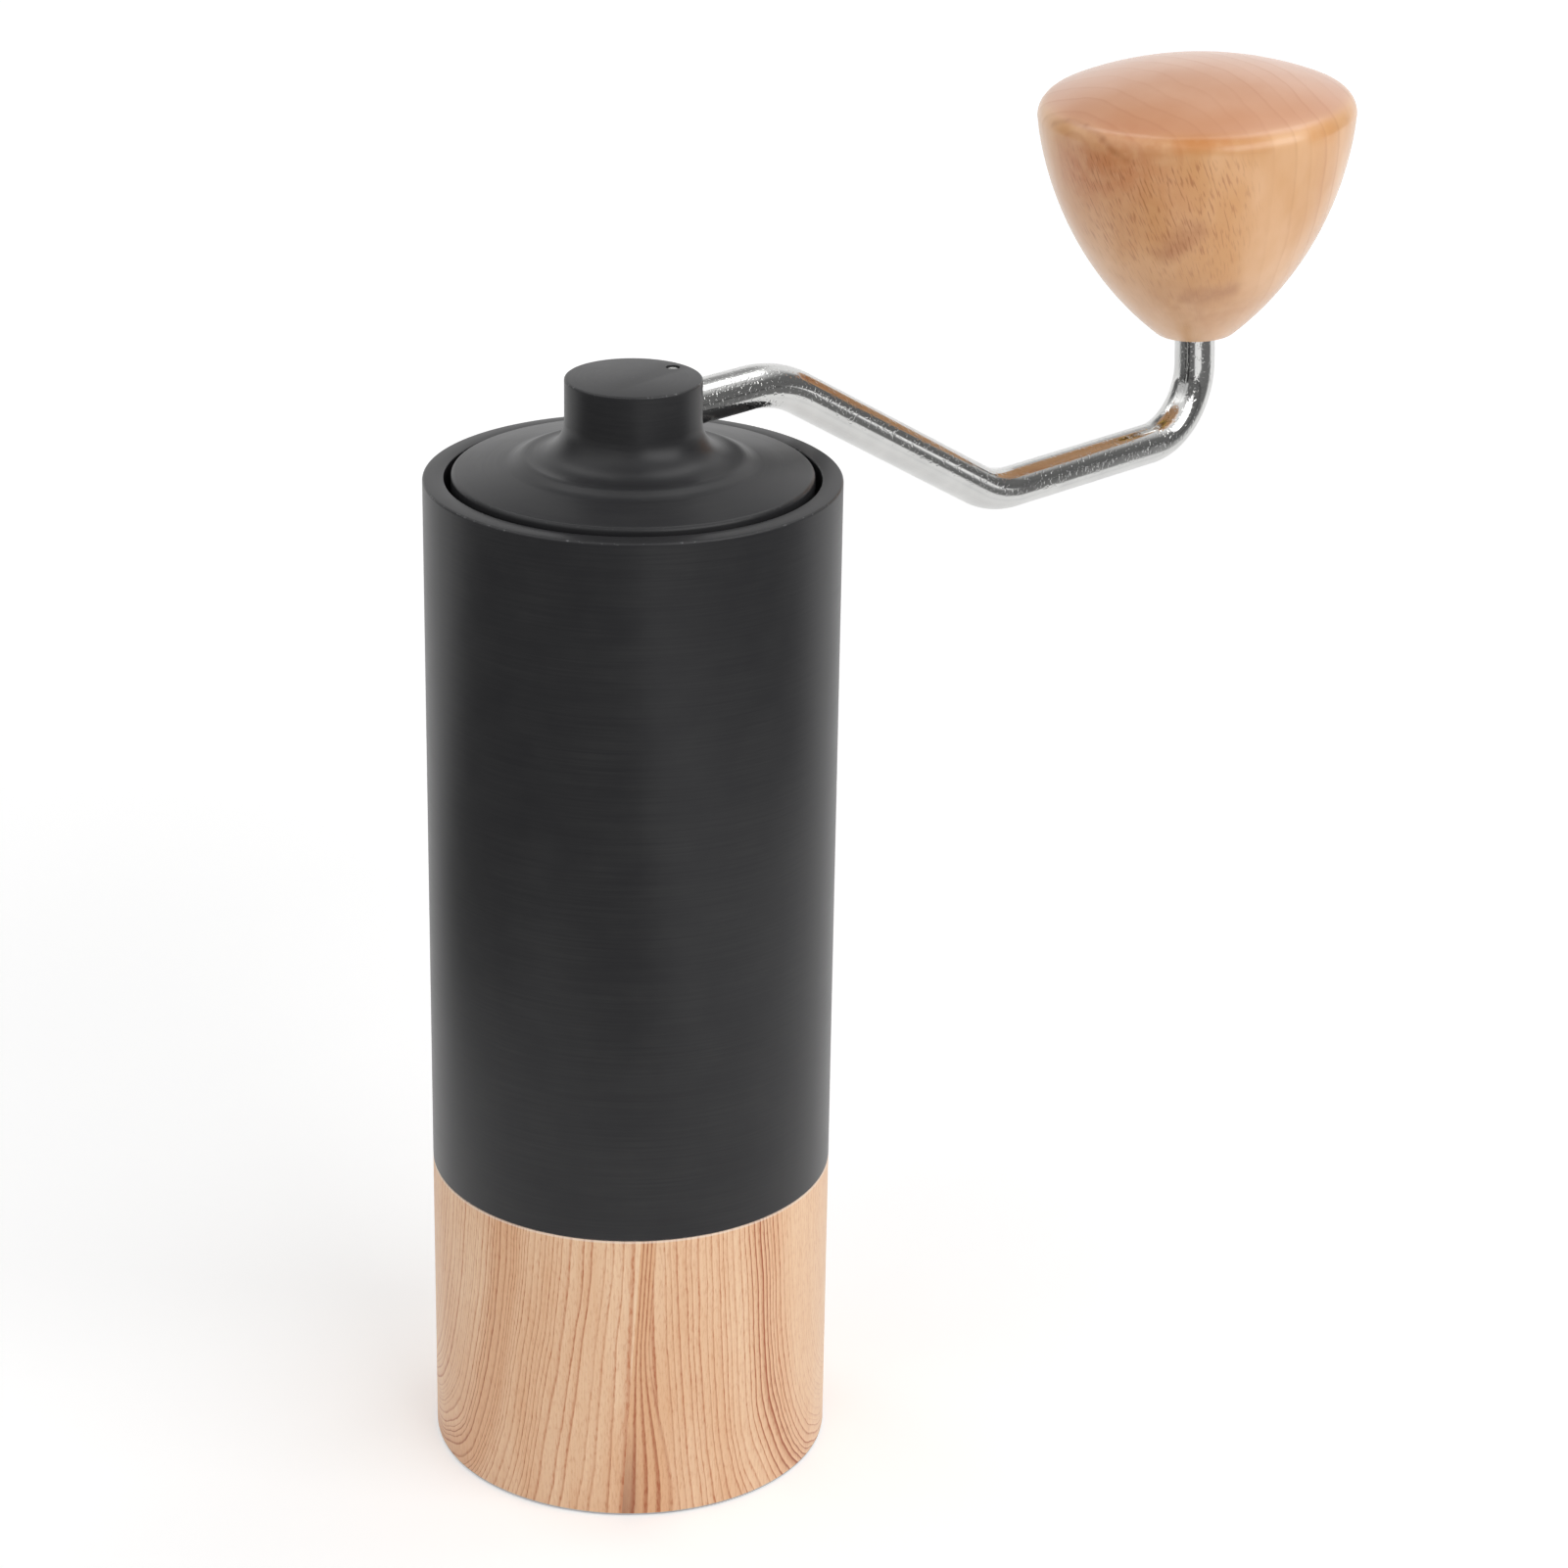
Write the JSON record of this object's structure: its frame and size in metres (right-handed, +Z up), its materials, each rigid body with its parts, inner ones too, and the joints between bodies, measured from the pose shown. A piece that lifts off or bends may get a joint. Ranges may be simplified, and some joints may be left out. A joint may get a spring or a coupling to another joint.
{
  "type": "hand crank coffee grinder",
  "caption": "Slim manual coffee grinder: black tube on a wood-print catch cup, turning lid with a bent crank rod and wooden knob, conical burrs set by a dial.",
  "frame": {"origin": "centre of the cup's flat base, on the tube's axis", "axes": "+Z up the tube's axis, +X towards the crank's knob"},
  "size_m": [0.1622, 0.055, 0.179],
  "materials": {
    "black_anodised": "matte black anodised, fine turned lines",
    "wood_print": "pale wood grain print under satin clear coat",
    "lacquered_beech": "satin lacquered beech",
    "polished_steel": "polished bright",
    "bright_steel": "ground steel",
    "burr_steel": "machined tool steel",
    "spring_steel": "drawn spring wire",
    "dark_nylon": "moulded glass-filled nylon",
    "dial_aluminium": "clear anodised",
    "bush_brass": "turned brass",
    "black_rubber": "moulded silicone rubber"
  },
  "bodies": {
    "cup": {"catch_cup": "wood_print", "cup_seal": "black_rubber"},
    "tube": {"body_tube": "black_anodised", "upper_bridge": "dark_nylon", "bridge_clip": "bright_steel", "burr_carrier": "dark_nylon", "carrier_clip": "bright_steel", "outer_burr": "burr_steel", "burr_screws": "bright_steel", "upper_bearing_outer": "bright_steel", "lower_bearing_outer": "bright_steel"},
    "shaft": {"drive_shaft": "bright_steel", "shaft_clip": "bright_steel", "spring_washer": "bright_steel", "burr_spring": "spring_steel", "upper_bearing_inner": "bright_steel", "lower_bearing_inner": "bright_steel"},
    "crank": {"crank_lid": "black_anodised", "drive_socket": "bright_steel", "crank_rod": "polished_steel", "lock_pin": "bright_steel", "knob_clip": "bright_steel"},
    "knob": {"knob": "lacquered_beech", "knob_bush": "bush_brass"},
    "burr": {"inner_burr": "burr_steel", "detent_balls": "bright_steel", "detent_springs": "spring_steel"},
    "dial": {"adjust_dial": "dial_aluminium"},
    "upper_cage": {"upper_bearing_balls": "bright_steel", "upper_bearing_cage": "bush_brass"},
    "lower_cage": {"lower_bearing_balls": "bright_steel", "lower_bearing_cage": "bush_brass"}
  },
  "joints": [
    {"name": "tube_lift", "type": "slide", "parent": "cup", "child": "tube", "axis": [0, 0, 1], "range_m": [0, 0.055]},
    {"name": "shaft_spin", "type": "hinge", "parent": "tube", "child": "shaft", "pos_m": [0, 0, 0.1], "axis": [0, 0, 1], "continuous": true},
    {"name": "crank_lift", "type": "slide", "parent": "shaft", "child": "crank", "axis": [0, 0, 1], "range_m": [0, 0.045]},
    {"name": "knob_spin", "type": "hinge", "parent": "crank", "child": "knob", "pos_m": [0.1139, 0, 0.1388], "axis": [-0.0698, 0, 0.9976], "continuous": true},
    {"name": "burr_slide", "type": "slide", "parent": "shaft", "child": "burr", "axis": [0, 0, 1], "range_m": [-0.00183, 0.00042], "deforming": ["burr_spring"]},
    {"name": "dial_turn", "type": "hinge", "parent": "burr", "child": "dial", "pos_m": [0, 0, 0.05], "axis": [0, 0, 1], "range_deg": [-660, 150]},
    {"name": "upper_cage_spin", "type": "hinge", "parent": "tube", "child": "upper_cage", "pos_m": [0, 0, 0.1155], "axis": [0, 0, 1], "continuous": true},
    {"name": "lower_cage_spin", "type": "hinge", "parent": "tube", "child": "lower_cage", "pos_m": [0, 0, 0.0825], "axis": [0, 0, 1], "continuous": true}
  ],
  "couplings": [
    {"joint": "dial_turn", "follows": "burr_slide", "rad_per_m": 6283.2},
    {"joint": "upper_cage_spin", "follows": "shaft_spin", "ratio": 0.4},
    {"joint": "lower_cage_spin", "follows": "shaft_spin", "ratio": 0.4}
  ]
}
